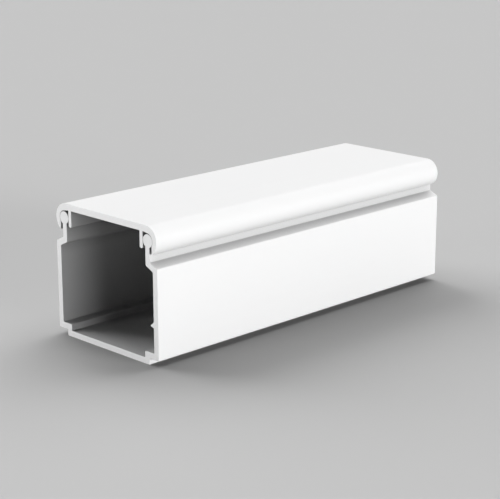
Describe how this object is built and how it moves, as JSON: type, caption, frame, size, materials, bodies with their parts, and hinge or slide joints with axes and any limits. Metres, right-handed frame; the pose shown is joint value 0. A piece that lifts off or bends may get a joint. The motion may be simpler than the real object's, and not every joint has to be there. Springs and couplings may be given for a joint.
{
  "type": "cable trunking",
  "caption": "Short length of plastic cable trunking: a square wiring channel with a clip-on lid hooked over a round bead along each wall.",
  "frame": {"origin": "middle of the back face, on the surface that the trunking is fixed to", "axes": "+X along the run of the trunking, +Y across its width away from the wall with the inner rib, +Z from the back face to the lid"},
  "size_m": [0.091, 0.033, 0.03],
  "materials": {
    "channel_plastic": "satin",
    "lid_plastic": "satin"
  },
  "bodies": {
    "channel": {"trunking_base": "channel_plastic"},
    "lid": {"lid": "lid_plastic"}
  },
  "joints": [
    {"name": "lid_slide", "type": "slide", "parent": "channel", "child": "lid", "axis": [1, 0, 0], "range_m": [-0.092, 0.092]}
  ]
}
